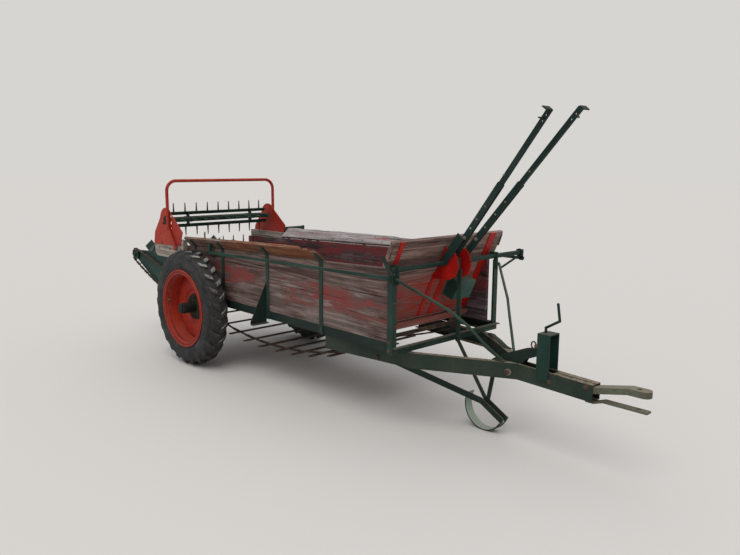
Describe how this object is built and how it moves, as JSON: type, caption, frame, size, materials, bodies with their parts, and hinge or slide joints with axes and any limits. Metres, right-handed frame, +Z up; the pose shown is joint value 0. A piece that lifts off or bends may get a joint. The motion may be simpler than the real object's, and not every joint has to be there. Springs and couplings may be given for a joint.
{
  "type": "ground-driven manure spreader",
  "caption": "Two-wheeled manure spreader: plank box with chain apron, two toothed beaters, a rear distributor, hand levers and a parking stand on its V tongue.",
  "frame": {"origin": "centre of the hitch pin hole in the drawbar, on the centre plane; the ground is 0.497 m below it", "axes": "+X forward, from the axle to the hitch; +Y to the machine's left; +Z up"},
  "size_m": [5.1355, 1.6, 2.0389],
  "materials": {
    "green_paint": "weathered dark green paint",
    "red_paint": "faded orange-red paint",
    "planks": "weathered grey planks with worn red paint",
    "rusty_steel": "rusty bare steel",
    "tyre": "worn dusty rubber"
  },
  "bodies": {
    "frame": {"sills": "green_paint", "cross_sills": "green_paint", "axle": "rusty_steel", "axle_brackets": "green_paint", "tongue_beams": "green_paint", "tongue_blocks": "green_paint", "tongue_pins": "rusty_steel", "hitch_bar": "rusty_steel", "hitch_strap": "rusty_steel", "jack_post": "green_paint", "jack_screw": "rusty_steel", "front_frame": "green_paint", "brace_rods": "green_paint", "front_panel": "planks", "panel_straps": "red_paint", "quadrants": "red_paint", "tool_box": "green_paint", "side_left": "planks", "side_right": "planks", "flare_left": "planks", "flare_right": "planks", "standards": "green_paint", "gussets": "green_paint", "floor": "planks", "apron_chains": "rusty_steel", "apron_slats": "rusty_steel", "apron_shafts": "rusty_steel", "end_plates": "red_paint", "rear_planks": "green_paint", "arch": "red_paint", "spreader_arms": "green_paint", "drive_chain": "rusty_steel", "beater_chain": "rusty_steel", "rear_brackets": "green_paint", "shaft_stay": "green_paint"},
    "wheel_left": {"tyre_left": "tyre", "rim_left": "red_paint", "hub_left": "green_paint"},
    "wheel_right": {"tyre_right": "tyre", "rim_right": "red_paint", "hub_right": "green_paint"},
    "upper_beater": {"upper_beater": "green_paint"},
    "main_beater": {"main_beater": "green_paint"},
    "distributor": {"distributor": "green_paint"},
    "lever_left": {"lever_left": "green_paint"},
    "lever_right": {"lever_right": "green_paint"},
    "rod_left": {"rod_left": "green_paint"},
    "rod_right": {"rod_right": "green_paint"},
    "rear_arm_left": {"rear_arm_left": "green_paint"},
    "rear_arm_right": {"rear_arm_right": "green_paint"},
    "stand": {"stand_legs": "green_paint", "stand_foot": "green_paint"},
    "stand_link": {"stand_link": "green_paint"},
    "jack_arm": {"jack_arm": "green_paint"}
  },
  "joints": [
    {"name": "wheel_left_spin", "type": "hinge", "parent": "frame", "child": "wheel_left", "pos_m": [-3.65, 0.64, -0.008], "axis": [0, 1, 0], "continuous": true},
    {"name": "wheel_right_spin", "type": "hinge", "parent": "frame", "child": "wheel_right", "pos_m": [-3.65, -0.64, -0.008], "axis": [0, 1, 0], "continuous": true},
    {"name": "upper_beater_spin", "type": "hinge", "parent": "frame", "child": "upper_beater", "pos_m": [-4.193, 0, 0.695], "axis": [0, 1, 0], "continuous": true},
    {"name": "main_beater_spin", "type": "hinge", "parent": "frame", "child": "main_beater", "pos_m": [-4.21, 0, 0.316], "axis": [0, 1, 0], "continuous": true},
    {"name": "distributor_spin", "type": "hinge", "parent": "frame", "child": "distributor", "pos_m": [-4.9, 0, 0.313], "axis": [0, 1, 0], "continuous": true},
    {"name": "lever_left_tilt", "type": "hinge", "parent": "frame", "child": "lever_left", "pos_m": [-1.35, 0, 0.563], "axis": [0, 1, 0], "range_deg": [-12, 22]},
    {"name": "rod_left_pin", "type": "hinge", "parent": "lever_left", "child": "rod_left", "pos_m": [-1.35, 0.84, 0.517], "axis": [0, 1, 0], "range_deg": [-22, 12]},
    {"name": "rear_arm_left_tilt", "type": "hinge", "parent": "frame", "child": "rear_arm_left", "pos_m": [-3.98, 0.84, 0.563], "axis": [0, 1, 0], "range_deg": [-12, 22]},
    {"name": "lever_right_tilt", "type": "hinge", "parent": "frame", "child": "lever_right", "pos_m": [-1.35, 0, 0.563], "axis": [0, 1, 0], "range_deg": [-12, 22]},
    {"name": "rod_right_pin", "type": "hinge", "parent": "lever_right", "child": "rod_right", "pos_m": [-1.35, -0.568, 0.517], "axis": [0, 1, 0], "range_deg": [-22, 12]},
    {"name": "rear_arm_right_tilt", "type": "hinge", "parent": "frame", "child": "rear_arm_right", "pos_m": [-3.47, -0.568, 0.521], "axis": [0, 1, 0], "range_deg": [-12, 22]},
    {"name": "stand_swing", "type": "hinge", "parent": "frame", "child": "stand", "pos_m": [-1.58, 0, -0.0523], "axis": [0, -1, 0], "range_deg": [0, 5.5]},
    {"name": "stand_link_pin", "type": "hinge", "parent": "stand", "child": "stand_link", "pos_m": [-1, 0, -0.32377], "axis": [0, -1, 0], "range_deg": [-5.22, 0]},
    {"name": "jack_arm_tilt", "type": "hinge", "parent": "frame", "child": "jack_arm", "pos_m": [-0.798, 0, -0.05056], "axis": [0, -1, 0], "range_deg": [-24.35, 0]}
  ],
  "couplings": [
    {"joint": "rod_left_pin", "follows": "lever_left_tilt", "ratio": -1},
    {"joint": "rear_arm_left_tilt", "follows": "lever_left_tilt", "ratio": 1},
    {"joint": "rod_right_pin", "follows": "lever_right_tilt", "ratio": -1},
    {"joint": "rear_arm_right_tilt", "follows": "lever_right_tilt", "ratio": 1},
    {"joint": "stand_link_pin", "follows": "stand_swing", "ratio": -0.93096},
    {"joint": "jack_arm_tilt", "follows": "stand_swing", "ratio": -4.3399}
  ]
}
